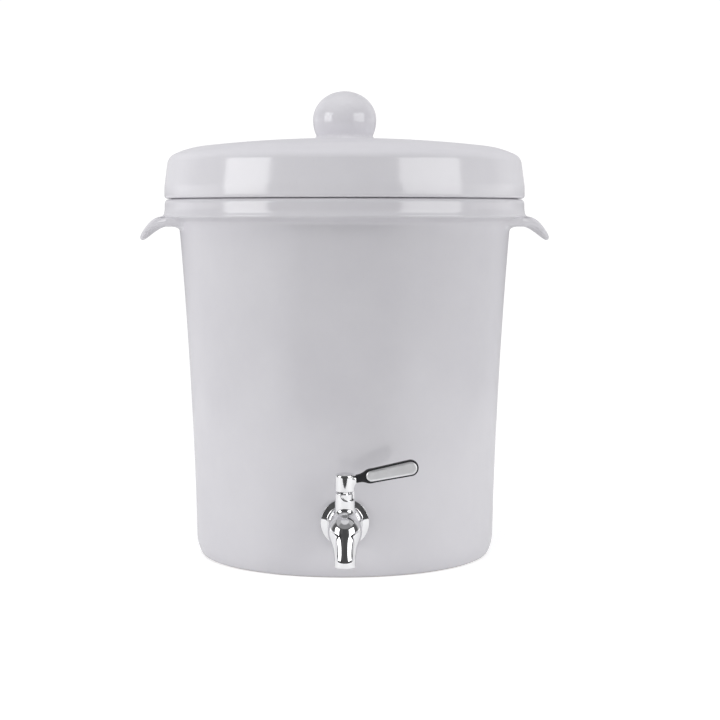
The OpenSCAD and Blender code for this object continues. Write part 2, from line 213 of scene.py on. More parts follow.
def filled_in(points, longest):
    """Adds points along an outline so that no step is longer than this."""
    out = [points[0]]
    for (r0, z0), (r1, z1) in zip(points, points[1:]):
        pieces = max(1, math.ceil(math.hypot(r1 - r0, z1 - z0) / longest))
        out += [(r0 + (r1 - r0) * i / pieces, z0 + (z1 - z0) * i / pieces) for i in range(1, pieces + 1)]
    return out


# ---------------------------------------------------------------- meshes


def add_mesh(name, points, faces):
    """A smooth-shaded mesh object from points in millimetres."""
    mesh = bpy.data.meshes.new(name)
    mesh.from_pydata((np.asarray(points, float) * MM).tolist(), [], faces)
    mesh.validate()
    mesh.shade_smooth()
    piece = bpy.data.objects.new(name, mesh)
    bpy.context.scene.collection.objects.link(piece)
    return piece


def revolve(outline, columns, closed=False):
    """Points and faces of an outline turned about +Z. Points on the axis become one point each."""
    points, rings, faces = [], [], []
    for r, z in outline:
        if r < 1e-6:
            rings.append([len(points)] * columns)
            points.append((0.0, 0.0, z))
            continue
        rings.append(list(range(len(points), len(points) + columns)))
        for j in range(columns):
            a = 2 * math.pi * j / columns
            points.append((r * math.cos(a), r * math.sin(a), z))
    pairs = list(zip(rings, rings[1:])) + ([(rings[-1], rings[0])] if closed else [])
    for low, high in pairs:
        for j in range(columns):
            k = (j + 1) % columns
            corners = [low[j], low[k], high[k], high[j]]
            faces.append([c for i, c in enumerate(corners) if c not in corners[:i]])
    return points, faces


def turned(name, outline, columns=288, closed=False, axis="z"):
    """A turned piece. With axis "u" the outline's heights are distances u along the tap's inlet axis."""
    points, faces = revolve(outline, columns, closed)
    points = np.array(points)
    if axis == "u":
        points = np.stack([points[:, 0], -points[:, 2], points[:, 1] + TAP_Z], axis=1)
    return face_outwards(add_mesh(name, points, faces))


def wavy(points, amount):
    """Moves points off a perfect circle by a slow, hand-made looking wave, in millimetres."""
    points = np.array(points, float)
    angle = np.arctan2(points[:, 1], points[:, 0])
    least_r = 40
    z = points[:, 2]
    wave = (
        0.5 * np.sin(2 * angle + 0.7 + z / 190)
        + 0.3 * np.sin(3 * angle - 1.1 - z / 120)
        + 0.2 * np.sin(5 * angle + z / 70)
    )
    points[:, :2] *= (1 + amount * wave / np.maximum(np.hypot(points[:, 0], points[:, 1]), least_r))[:, None]
    return points


def apply_modifiers(piece):
    """Replaces a piece's mesh with what its modifiers make of it."""
    graph = bpy.context.evaluated_depsgraph_get()
    mesh = bpy.data.meshes.new_from_object(piece.evaluated_get(graph))
    piece.modifiers.clear()
    piece.data = mesh
    return piece


def face_outwards(piece):
    """Makes a closed mesh's faces point outwards."""
    bm = bmesh.new()
    bm.from_mesh(piece.data)
    bmesh.ops.recalc_face_normals(bm, faces=bm.faces)
    bm.to_mesh(piece.data)
    bm.free()
    return piece


# ---------------------------------------------------------------- shapes given by a field


def soft_min(a, b, blend):
    """The union of two fields with a fillet about as wide as blend."""
    h = np.clip(0.5 + 0.5 * (b - a) / blend, 0, 1)
    return b + (a - b) * h - blend * h * (1 - h)


def soft_max(a, b, blend):
    """The overlap of two fields with a rounded edge."""
    return -soft_min(-a, -b, blend)


def limb(p, start, end, r0, r1):
    """Distance to a round-ended limb whose radius goes evenly from r0 to r1."""
    start, run = np.array(start, float), np.array(end, float) - np.array(start, float)
    t = np.clip(((p - start) @ run) / (run @ run), 0, 1)
    return np.linalg.norm(p - start - t[..., None] * run, axis=-1) - (r0 + (r1 - r0) * t)


def on_path(path, t):
    """Points and slopes of the smooth curve that follows a list of points; t counts along the list."""
    i = np.clip(np.floor(t).astype(int), 1, len(path) - 3)
    f = (t - i)[..., None]
    weights = ((1 - f)**3, 3 * f**3 - 6 * f**2 + 4, -3 * f**3 + 3 * f**2 + 3 * f + 1, f**3)
    slopes = (-3 * (1 - f)**2, 9 * f**2 - 12 * f, -9 * f**2 + 6 * f + 3, 3 * f**2)
    near = [path[i + k] for k in (-1, 0, 1, 2)]
    return sum(w * p for w, p in zip(weights, near)) / 6, sum(w * p for w, p in zip(slopes, near)) / 6


def nearest_on_path(path, u, z):
    """How far along a path each place is nearest to."""
    gap = 0.1
    samples = np.arange(1, len(path) - 2 + gap / 2, gap)
    places = on_path(path, samples)[0][:, :2]
    best = np.zeros(u.shape, int)
    least = np.full(u.shape, np.inf)
    for i, place in enumerate(places):
        far = (u - place[0])**2 + (z - place[1])**2
        best = np.where(far < least, i, best)
        least = np.minimum(far, least)
    best = np.clip(best, 1, len(samples) - 2)
    around = (places[i] for i in (best - 1, best, best + 1))
    before, here, after = ((u - place[..., 0])**2 + (z - place[..., 1])**2 for place in around)
    shift = 0.5 * (before - after) / np.maximum(before - 2 * here + after, 1e-9)
    return samples[best] + gap * np.clip(shift, -1, 1)


def egg_sweep(path, x, u, z):
    """A sweep along a path in the upright plane, with each section's widest place behind its middle."""
    place, slope = on_path(path, nearest_on_path(path, u, z))
    slope = slope[..., :2] / np.linalg.norm(slope[..., :2], axis=-1, keepdims=True)
    radius, behind = place[..., 2], place[..., 3]
    ahead = (z - place[..., 1]) * slope[..., 0] - (u - place[..., 0]) * slope[..., 1] + behind
    depth = np.where(ahead > 0, radius + behind, radius - behind)
    return (np.hypot(x / radius, ahead / depth) - 1) * radius


def cell_corners(values):
    """The eight corner values of every cell of a grid, keyed by corner."""
    n = values.shape
    return {
        (i, j, k): values[i:n[0] - 1 + i, j:n[1] - 1 + j, k:n[2] - 1 + k]
        for i in (0, 1) for j in (0, 1) for k in (0, 1)
    }


def skin(name, field, low, high, step):
    """A closed mesh of quads on the surface where the field is zero; the field is negative inside."""
    axes = [np.arange(a, b + step, step) for a, b in zip(low, high)]
    grid = np.stack(np.meshgrid(*axes, indexing="ij"), axis=-1)
    values = field(grid)
    corners = cell_corners(values)
    inside = sum((v < 0).astype(int) for v in corners.values())
    used = (inside > 0) & (inside < 8)
    total = np.zeros(used.shape + (3,))
    count = np.zeros(used.shape)
    for start in corners:
        for axis in range(3):
            if start[axis]:
                continue
            end = tuple(1 if i == axis else start[i] for i in range(3))
            a, b = corners[start], corners[end]
            crossed = (a < 0) != (b < 0)
            t = np.where(crossed, a / np.where(crossed, a - b, 1), 0)
            for i in range(3):
                total[..., i] += np.where(crossed, start[i] + (t if i == axis else 0), 0)
            count += crossed
    ids = np.full(used.shape, -1)
    ids[used] = np.arange(used.sum())
    cells = np.argwhere(used)
    points = np.array(low) + (cells + total[used] / count[used][:, None]) * step
    faces = []
    for axis in range(3):
        other, third = (axis + 1) % 3, (axis + 2) % 3
        ahead = np.roll(values, -1, axis=axis)
        crossed = (values < 0) != (ahead < 0)
        keep = [slice(1, n - 1) for n in values.shape]
        keep[axis] = slice(0, values.shape[axis] - 1)
        mask = np.zeros(values.shape, bool)
        mask[tuple(keep)] = crossed[tuple(keep)]
        at = np.argwhere(mask)
        quad = []
        for back_other, back_third in ((1, 1), (0, 1), (0, 0), (1, 0)):
            cell = at.copy()
            cell[:, other] -= back_other
            cell[:, third] -= back_third
            quad.append(ids[cell[:, 0], cell[:, 1], cell[:, 2]])
        quad = np.stack(quad, axis=1)
        flip = ~(values[mask] < 0)
        quad[flip] = quad[flip][:, ::-1]
        faces.append(quad)
    faces = np.concatenate(faces)
    points = settle(points, faces, field, step)
    return add_mesh(name, points, faces.tolist())


def gradient(field, points):
    """The field's slope at each point."""
    reach = 0.02
    slopes = []
    for axis in range(3):
        offset = np.zeros(3)
        offset[axis] = reach
        slopes.append((field(points + offset) - field(points - offset)) / (2 * reach))
    return np.stack(slopes, axis=1)


def pulled_on(points, field, step):
    """Moves points onto the zero surface, never further than half a step at once."""
    least_slope = 0.2
    for _ in range(3):
        slope = gradient(field, points)
        move = field(points)[:, None] * slope / np.maximum((slope**2).sum(1), least_slope**2)[:, None]
        length = np.linalg.norm(move, axis=1, keepdims=True)
        points = points - move * np.minimum(1, 0.5 * step / np.maximum(length, 1e-9))
    return points


def settle(points, faces, field, step):
    """Evens out the quads along the surface, so that it shades smoothly."""
    starts = np.concatenate([faces[:, i] for i in range(4)])
    ends = np.concatenate([faces[:, (i + 1) % 4] for i in range(4)])
    links = np.bincount(starts, minlength=len(points)) + np.bincount(ends, minlength=len(points))
    points = pulled_on(points, field, step)
    for _ in range(6):
        total = np.zeros_like(points)
        np.add.at(total, starts, points[ends])
        np.add.at(total, ends, points[starts])
        points = pulled_on(0.5 * points + 0.5 * total / links[:, None], field, step)
    return points


# ---------------------------------------------------------------- crock


def crock_rows():
    """Rows of the crock's control mesh, and the index of the row where the lugs' roots start."""
    curve_dr = wall_r(FOOT_CURVE_H) - FOOT_R
    curve_r = (FOOT_CURVE_H**2 + curve_dr**2) / (2 * curve_dr)
    centre = (wall_r(FOOT_CURVE_H) - curve_r, FOOT_CURVE_H)
    foot_edge_h = 0.8
    start = 90 + math.degrees(math.asin((FOOT_CURVE_H - foot_edge_h) / curve_r))
    underside = [(0, 0)] + [(r, 0) for r in (45, 85, 99, 103, 104.5)]
    foot = arc(centre, curve_r, start, 90, 4)
    wall = [(wall_r(z), z) for z in (22, 36, 54, 76, 102, 130, 158, 184, 206, 221, 230, 235)]
    root = [(wall_r(238), 238), (wall_r(241.2), 241.2), (121.6, 243.8), (126.4, 245.1), (130.9, 246.1)]
    lip = [(132.2, 246.6), (132.4, 247.8), (131.7, 249), (131.25, 251), (131.1, 254)]
    rim_edge_r = 3.0
    mouth_edge_r = 2.5
    rim = arc((128.1, RIM_Z - rim_edge_r), rim_edge_r, 90, 0, 4) + [(125, RIM_Z), (119, RIM_Z)]
    mouth = arc((MOUTH_R + mouth_edge_r, RIM_Z - mouth_edge_r), mouth_edge_r, 0, -90, 3) + [(MOUTH_R, 250)]
    inside = [(wall_r(z) - WALL_T, z) for z in (238, 218, 185, 140, 95, 55, 34)]
    corner_r = 14
    corner_z = FLOOR_T + corner_r
    corner = arc((wall_r(corner_z) - WALL_T - corner_r, corner_z), corner_r, 90, 180, 4)
    floor = [(r, FLOOR_T) for r in (60, 0)]
    first = len(underside + foot + wall)
    return underside + foot + wall + root + lip + rim + mouth + inside + corner + floor, first


# Radius, height and half thickness along the middle of a lug
LUG_LINE = np.array([
    (118, 243.2, 3.5), (131, 243.3, 3.6), (134.5, 243.4, 3.7), (137.9, 242.7, 3.1),
    (140.6, 240.9, 2.7), (142.9, 238.4, 2.45), (145.8, 234.6, 2.2), (148.8, 230.4, 2.0),
])


def lug_point(plan, across, bulge):
    """A point of a lug. Across runs from -1 underneath to 1 on top, and bulge pushes it out at the edge."""
    radius = float(np.hypot(*plan))
    height, half = (float(np.interp(radius, LUG_LINE[:, 0], LUG_LINE[:, i])) for i in (1, 2))
    reach = 1.5
    rise = (
        np.interp(radius + reach, LUG_LINE[:, 0], LUG_LINE[:, 1])
        - np.interp(radius - reach, LUG_LINE[:, 0], LUG_LINE[:, 1])
    ) / (2 * reach)
    radial = np.array([plan[0], plan[1]]) / radius
    normal = np.array([-rise, 1.0]) / math.hypot(rise, 1)
    out = np.array([plan[0] - LOBE_CENTRE, plan[1]])
    out /= np.linalg.norm(out)
    out_rise = rise * float(out @ radial)
    out_len = math.hypot(1, out_rise)
    xy = np.array(plan) + radial * normal[0] * half * across + out * bulge / out_len
    return xy[0], xy[1], height + normal[1] * half * across + out_rise * bulge / out_len


def grow_lug(points, faces, ring_of, first, turn):
    """Grows one lug out of the patch that was left open in the control mesh."""
    spans = (0.13, 0.38, 0.62, 0.83, 1.0)
    edge_bulge = 2.5
    outline_r = 36.0
    outline_angle = math.radians(62)
    rows = 5
    columns = range(-LUG_COLUMNS, LUG_COLUMNS + 1)
    acrosses = np.sin(np.radians(np.linspace(-90, 90, rows)))
    spin = np.array([[math.cos(turn), -math.sin(turn)], [math.sin(turn), math.cos(turn)]])
    shift = round(turn / (2 * math.pi) * COLUMNS)

    def corner(row, column):
        return ring_of[first + row][(column + shift) % COLUMNS]

    def place(row, column, t):
        root = np.array(points[corner(row, column)][:2]) @ spin
        angle = outline_angle * column / LUG_COLUMNS
        edge = np.array([LOBE_CENTRE + outline_r * math.cos(angle), outline_r * math.sin(angle)])
        side = abs(column) == LUG_COLUMNS
        bulge = edge_bulge * math.sqrt(1 - acrosses[row] ** 2) * (t if side else float(t == 1))
        x, y, z = lug_point(root + (edge - root) * t, acrosses[row], bulge)
        points.append((*(spin @ np.array([x, y])), z))
        return len(points) - 1

    around = [(0, c) for c in columns] + [(r, LUG_COLUMNS) for r in range(1, rows - 1)]
    around += [(rows - 1, c) for c in reversed(columns)]
    around += [(r, -LUG_COLUMNS) for r in range(rows - 2, 0, -1)]
    inner = {key: corner(*key) for key in around}
    for t in spans:
        outer = {key: place(*key, t) for key in around}
        for a, b in zip(around, around[1:] + around[:1]):
            faces.append([inner[a], inner[b], outer[b], outer[a]])
        inner = outer
    cap = {(r, c): inner.get((r, c)) or place(r, c, 1.0) for r in range(rows) for c in columns}
    for r in range(rows - 1):
        for c in range(-LUG_COLUMNS, LUG_COLUMNS):
            faces.append([cap[r, c], cap[r, c + 1], cap[r + 1, c + 1], cap[r + 1, c]])


def crock_cage():
    """The crock's control mesh, with both lugs growing from under the rim."""
    rows, first = crock_rows()
    points, ring_of, faces = [], [], []
    swell = 3 / (2 + math.cos(2 * math.pi / COLUMNS))
    # Beside a lug the lip turns up and out, so that the lug's top runs into the rim's side
    beside_lug = {first + 4: (133.4, 247.0), first + 5: (132.3, 247.7), first + 6: (131.6, 249.2)}
    share_by_column = {0: 1, 1: 1, 2: 1, 3: 1, 4: 0.75, 5: 0.2}
    lug_half_turns = (0, COLUMNS // 2)
    for i, (r, z) in enumerate(rows):
        if r == 0:
            ring_of.append([len(points)] * COLUMNS)
            points.append((0.0, 0.0, z))
            continue
        ring_of.append(list(range(len(points), len(points) + COLUMNS)))
        for j in range(COLUMNS):
            away = min(abs((j - h + COLUMNS // 2) % COLUMNS - COLUMNS // 2) for h in lug_half_turns)
            share = share_by_column.get(away, 0)
            goal_r, goal_z = beside_lug.get(i, (r, z))
            at_r = (r + (goal_r - r) * share) * swell
            angle = 2 * math.pi * j / COLUMNS
            points.append((at_r * math.cos(angle), at_r * math.sin(angle), z + (goal_z - z) * share))
    for i, (low, high) in enumerate(zip(ring_of, ring_of[1:])):
        for j in range(COLUMNS):
            k = (j + 1) % COLUMNS
            in_patch = any((j - h + LUG_COLUMNS) % COLUMNS < 2 * LUG_COLUMNS for h in lug_half_turns)
            if first <= i < first + 4 and in_patch:
                continue
            corners = [low[j], low[k], high[k], high[j]]
            faces.append([c for n, c in enumerate(corners) if c not in corners[:n]])
    for turn in (0, math.pi):
        grow_lug(points, faces, ring_of, first, turn)
    return points, faces


def make_crock():
    """The smoothed control mesh, with the tap's hole bored through the wall."""
    points, faces = crock_cage()
    crock = add_mesh("stoneware_crock", wavy(points, 0.16), faces)
    smooth = crock.modifiers.new("subdivide", "SUBSURF")
    smooth.levels = smooth.render_levels = 2
    apply_modifiers(crock)
    back, front = 90, 125
    bore = [(0, back), (TAP_HOLE_R, back), (TAP_HOLE_R, front), (0, front)]
    cutter = turned("tap_hole_cutter", bore, 64, axis="u")
    hole = crock.modifiers.new("hole", "BOOLEAN")
    hole.object = cutter
    hole.solver = "EXACT"
    apply_modifiers(crock)
    bpy.data.objects.remove(cutter)
    crock.data.shade_smooth()
    return crock


# ---------------------------------------------------------------- lid and filter


def next_centre(centre, radius, next_radius, angle):
    """Centre of the arc that carries smoothly on from another arc at an angle."""
    step = radius - next_radius
    return centre[0] + step * sine(angle), centre[1] + step * sine(90 - angle)


def knob_outline(dome_foot):
    """The ball and its hollowed foot, down to a point on the dome."""
    upper = oval((0, KNOB_Z), KNOB_R, 20.8, 0, 90, 36)
    lower = oval((0, KNOB_Z), KNOB_R, 25, 92, 116, 12)
    foot = [(*lower[-1], 0), (20.6, 305.2, 1.2), (21.3, 304.2, 0.6), (22.2, 303.1, 0.9), (*dome_foot, 0)]
    return upper + lower[:-1] + rounded(foot, 4)


def make_lid():
    """A shallow dome with a ball knob, a rounded shoulder and a short skirt, hollow underneath."""
    dome_start = 2
    dome_a = math.degrees(math.asin(105 / DOME_R))
    dome_c = (0, DOME_Z - DOME_R)
    shoulder_c = next_centre(dome_c, DOME_R, SHOULDER_R, dome_a)
    corner_c = next_centre(shoulder_c, SHOULDER_R, LID_CORNER_R, SHOULDER_ANGLE)
    dome = arc(dome_c, DOME_R, dome_start, dome_a, 40)
    outline = knob_outline(dome[0]) + dome[1:]
    outline += arc(shoulder_c, SHOULDER_R, dome_a, SHOULDER_ANGLE, 24)[1:]
    outline += arc(corner_c, LID_CORNER_R, SHOULDER_ANGLE, LID_SIDE_ANGLE, 16)[1:]
    side = [outline[-1], (LID_R - 0.1, 269), (LID_R, 266)]
    outline += filled_in(side, 1.5)[1:]
    # The lid bears on a narrow seat, and stands a little clear of the rim outside it
    gap = 0.5
    seat_r = 126.0
    edge_r = 2.2
    skirt_r = LID_R - LID_T + 0.7
    outline += arc((LID_R - edge_r, RIM_Z + gap + edge_r), edge_r, 90, 180, 8)
    inner_corner = (corner_c[0] - 4.5, corner_c[1])
    inside = arc(inner_corner, LID_CORNER_R - 2.5, LID_SIDE_ANGLE, SHOULDER_ANGLE, 10)
    seat = [
        (LID_R - edge_r - 0.5, RIM_Z + gap, 0), (seat_r + 0.4, RIM_Z + gap, 0.2), (seat_r, RIM_Z, 0.2),
        (skirt_r, RIM_Z, 0.7), (*inside[0], 0),
    ]
    outline += filled_in(rounded(seat, 4), 2)
    outline += inside[1:]
    outline += arc(dome_c, DOME_R - LID_T, dome_a, 0, 30)
    points, faces = revolve(outline, 288)
    return face_outwards(add_mesh("stoneware_lid", wavy(points, 0.14), faces))


def make_filter_ring():
    """A flat carrier ring with a collar that drops into the crock's mouth."""
    inner_r, outer_r = 106.5, 121.5
    collar_r, collar_inner_r = 113, 110.6
    low, under, foot = RIM_Z, RIM_Z + 0.6, RIM_Z - 12
    outline = rounded([
        (110, under, 0), (inner_r, under, 0.5), (inner_r, RING_TOP_Z, 0.8), (outer_r, RING_TOP_Z, 1.2),
        (outer_r, low, 0.6), (collar_r, low, 0.5), (collar_r, foot, 0.9), (collar_inner_r, foot, 0.9),
        (collar_inner_r, under, 0.6), (110, under, 0),
    ])
    return turned("filter_carrier_ring", outline[:-1], closed=True)


def make_filter_gasket():
    """A flat ring between the carrier ring and the pot's flange."""
    inner_r, outer_r = 107.3, 117
    low, high = RING_TOP_Z, POT_FLANGE_Z
    outline = rounded([
        (112, low, 0), (outer_r, low, 0.5), (outer_r, high, 0.5), (inner_r, high, 0.5), (inner_r, low, 0.5),
        (112, low, 0),
    ])
    return turned("filter_seal", outline[:-1], closed=True)


def make_filter_pot():
    """A tapered clay pot with a thick flange, with fine ridges from the wheel on its wall."""
    flange_r, mouth_r = 118, 92.5
    floor_z = POT_BOTTOM_Z + 14
    top = POT_FLANGE_Z + 12.5
    outline = filled_in(rounded([
        (0, POT_BOTTOM_Z, 0), (97, POT_BOTTOM_Z, 12), (105.4, POT_FLANGE_Z, 1.2),
        (flange_r, POT_FLANGE_Z, 1.5), (flange_r, top, 3), (mouth_r, top, 3), (84, floor_z, 9),
        (0, floor_z, 0),
    ], 8), 1.5)
    ridges = []
    for r, z in outline:
        on_wall = 116 < z < 262 and r > 80
        ridge = 0.16 * math.sin(z / 1.15) + 0.1 * math.sin(z / 3.1 + 1) if on_wall else 0
        ridges.append((r + ridge, z))
    points, faces = revolve(ridges, 240)
    return face_outwards(add_mesh("clay_filter_pot", wavy(points, 0.25), faces))


# ---------------------------------------------------------------- tap


def tap_hollow(x, u, z):
    """The stepped inlet bore, the slanted bore through the bend, the outlet and the stem's bore."""
    inlet_end_u = 145.6
    off_inlet = np.hypot(x, z - TAP_Z)
    bore_r = np.where(u < 126.4, 8.05, np.where(u < 141.6, 7.2, 4.0))
    inlet = np.where(u < inlet_end_u, off_inlet - bore_r, np.maximum(off_inlet + 1, u - inlet_end_u))
    slant_r = 4.2
    place = np.stack([x, u, z], axis=-1)
    slant = limb(place, (0, 143.5, TAP_Z + 0.5), (0, OUTLET_U - 0.7, 24.5), slant_r, slant_r)
    outlet = np.maximum(np.hypot(x, u - OUTLET_U) - 5.0, z - (OUTLET_Z + 7))
    stem = np.maximum(np.hypot(x, u - STEM_U) - 5.25, TAP_Z - z)
    return np.minimum(np.minimum(inlet, slant), np.minimum(outlet, stem))


def collar_notch(x, u, z):
    """The scoop in the chamber's top that the lever's stop tab swings in."""
    middle, half = -50.0, 67.0
    floor_z = 58.9
    angle = np.degrees(np.arctan2(STEM_U - u, x))
    aside = np.radians(np.abs(angle - middle) - half) * np.maximum(np.hypot(x, u - STEM_U), 2)
    return soft_max(aside, floor_z - z, 6)


def tap_field(p):
    """The bent tap body, with its upright valve chamber, its bores and the collar's notch."""
    x, u, z = p[..., 0], -p[..., 1], p[..., 2]
    barrel_back_u = 120
    barrel_r = 10 + 1.1 * (u - barrel_back_u) / 21
    barrel_ends = np.maximum(barrel_back_u - u, u - BARREL_FRONT_U)
    barrel = soft_max(np.hypot(x, z - TAP_Z) - barrel_r, barrel_ends, 0.5)
    neck = np.maximum(egg_sweep(np.array(SPOUT_PATH), x, u, z), BARREL_FRONT_U - 0.5 - u)
    chamber_ends = np.maximum(TAP_Z - z, z - COLLAR_Z)
    chamber = soft_max(np.hypot(x, u - STEM_U) - CHAMBER_R, chamber_ends, 0.5)
    outside = soft_min(np.minimum(barrel, neck), chamber, 3.2)
    outside = soft_max(outside, OUTLET_Z - z, 0.7)
    drilled = soft_max(outside, -tap_hollow(x, u, z), 0.45)
    return soft_max(drilled, -collar_notch(x, u, z), 0.35)


def make_tap_body():
    return skin("tap_spout_body", tap_field, low=(-13, -162, 15), high=(13, -118.5, 65), step=0.38)


def make_escutcheon():
    """A flared flange that runs up the barrel, bored for the shank."""
    r, neck = 16.65, 10.6
    back, inset, front = 110.8, 112, 119.9
    recess_r, step_r = 13.2, 9.2
    outline = rounded([
        (step_r, inset, 0), (recess_r, inset, 0), (recess_r, back, 0.2), (r - 0.2, back, 0.4),
        (r, back + 1.4, 0.5), (r - 0.3, back + 1.9, 0.3), (neck + 1.8, back + 3.1, 1.2),
        (neck + 0.2, back + 6.2, 2.2), (neck, front, 0.4), (TAP_HOLE_R, front, 0.3), (TAP_HOLE_R, inset, 0.2),
        (step_r, inset, 0),
    ], 6)
    return turned("tap_escutcheon", outline[:-1], 192, closed=True, axis="u")


def in_lever_frame(p):
    """Coordinates along the lever, across it and above its middle line."""
    x, y, z = p[..., 0], p[..., 1] + STEM_U, p[..., 2] - LEVER_Z
    c, s = math.cos(LEVER_TILT), math.sin(LEVER_TILT)
    return np.stack([x * c + z * s, y, -x * s + z * c], axis=-1)


def box_field(p, low, high):
    """Distance to a box with sharp edges."""
    low, high = np.array(low, float), np.array(high, float)
    return np.max(np.abs(p - (low + high) / 2) - (high - low) / 2, axis=-1)


def blade_field(q):
    """The flat tang that the sleeve is pushed over."""
    return box_field(q, (0, -1.2, -1.8), (34, 1.2, 1.8))


def stop_tab(x, y, z):
    """The tab that hangs from the cap into the collar's notch."""
    inner_r, low_z, high_z = 5.4, 59.5, 66
    middle, half = -5, 20
    off_stem = np.hypot(x, y)
    aside = np.radians(np.abs(np.degrees(np.arctan2(y, x)) - middle) - half) * np.maximum(off_stem, 2)
    wall = np.maximum(off_stem - CHAMBER_R, inner_r - off_stem)
    return np.maximum(soft_max(wall, np.maximum(aside, low_z - z), 0.4), z - high_z)


def cap_field(p):
    """The lever's cap, its arm, the blade and the stop tab, in one casting."""
    x, y, z = p[..., 0], p[..., 1] + STEM_U, p[..., 2]
    q = in_lever_frame(p)
    off_stem = np.hypot(x, y)
    crown_r = 19.0
    crown = np.sqrt(off_stem**2 + (z - (CAP_Z - crown_r)) ** 2) - crown_r
    cap = soft_max(off_stem - CHAMBER_R, crown, 1.5)
    cap = soft_max(cap, COLLAR_Z + 1 - z, 0.5)
    arm = limb(q, (2, 0, 0), (8.4, 0, 0), 4.4, 2.15)
    gusset = limb(q, (3, 0, -3.2), (8, 0, -0.5), 2.6, 1.7)
    casting = soft_min(cap, soft_min(arm, gusset, 1.5), 1.8)
    casting = np.minimum(casting, blade_field(q))
    casting = np.minimum(casting, stop_tab(x, y, z))
    socket = np.maximum(off_stem - 3.05, z - 74.7)
    grub_hole = np.maximum(np.hypot(x, z - 70.5) - 1.5, -y)
    return soft_max(casting, -np.minimum(socket, grub_hole), 0.3)


def make_lever_cap():
    return skin("lever_cap_casting", cap_field, low=(-8, -142, 58.5), high=(35.5, -126, 80), step=0.4)


def flat_limb(q, start, end, r0, r1):
    """Distance in the lever's upright plane to a limb drawn between two points on its middle line."""
    flat = np.stack([q[..., 0], q[..., 2]], axis=-1)
    return limb(flat, (start, 0), (end, 0), r0, r1)


def paddle_field(q, border=0.0):
    """The lever's long rounded end, narrowed all round by a border."""
    return flat_limb(q, 17.5, 44.6, 4.65 - border, 5.4 - border)


def sleeve_field(p):
    """The soft sleeve, flared from a narrow neck, with a pocket for the plate."""
    q = in_lever_frame(p)
    neck = flat_limb(q, 5, 17, 2.3, 3.1)
    neck = np.maximum(neck, 7.3 - q[..., 0])
    outline = soft_min(paddle_field(q), neck, 3.0)
    y = q[..., 1]
    half_t = 3.0
    round_r = 1.3
    across = np.abs(y) - half_t + round_r
    inward = outline + round_r
    body = np.minimum(np.maximum(inward, across), 0)
    body = body + np.hypot(np.maximum(inward, 0), np.maximum(across, 0)) - round_r
    pocket = np.maximum(paddle_field(q, 0.95), y + 2.0)
    pocket = np.maximum(pocket, 14.6 - q[..., 0])
    body = soft_max(body, -pocket, 0.25)
    return np.maximum(body, -blade_field(q))


def make_lever_sleeve():
    low, high = (6.5, -138.2, 65), (52, -129.8, 88.5)
    return skin("lever_silicone_sleeve", sleeve_field, low, high, step=0.36)


def make_lever_plate():
    """A thin plate with a bevelled edge, laid in the sleeve's pocket."""
    near_x, near_r, far_x, far_r = 18.2, 3.7, 44.6, 4.45
    tilt = math.asin((far_r - near_r) / (far_x - near_x))
    steps = 32
    far_end = (far_x, far_r, -math.pi / 2 - tilt, math.pi + 2 * tilt)
    near_end = (near_x, near_r, math.pi / 2 + tilt, math.pi - 2 * tilt)
    around = []
    for x, r, start, sweep in (far_end, near_end):
        around += [(x, r, start + sweep * i / steps) for i in range(steps + 1)]
    # How far each loop is inside the outline, and how far it stands in front of the lever's middle
    loops = [(0.0, 2.0), (0.0, 2.62), (0.06, 2.72), (0.55, 3.02), (0.68, 3.08), (0.8, 3.1)]
    loops += [(0.8 + 0.9 * i, 3.1) for i in range(1, 4)]
    c, s = math.cos(LEVER_TILT), math.sin(LEVER_TILT)
    points = []
    for inset, front in loops:
        for x, r, a in around:
            along, up = x + (r - inset) * math.cos(a), (r - inset) * math.sin(a)
            points.append((along * c - up * s, -STEM_U - front, LEVER_Z + along * s + up * c))
    n = len(around)
    faces = [list(range(n))]
    for loop in range(len(loops) - 1):
        for i in range(n):
            j = (i + 1) % n
            faces.append([loop * n + i, loop * n + j, (loop + 1) * n + j, (loop + 1) * n + i])
    faces.append([(len(loops) - 1) * n + i for i in range(n)][::-1])
    return face_outwards(add_mesh("lever_plate_satin", points, faces))


# ---------------------------------------------------------------- materials


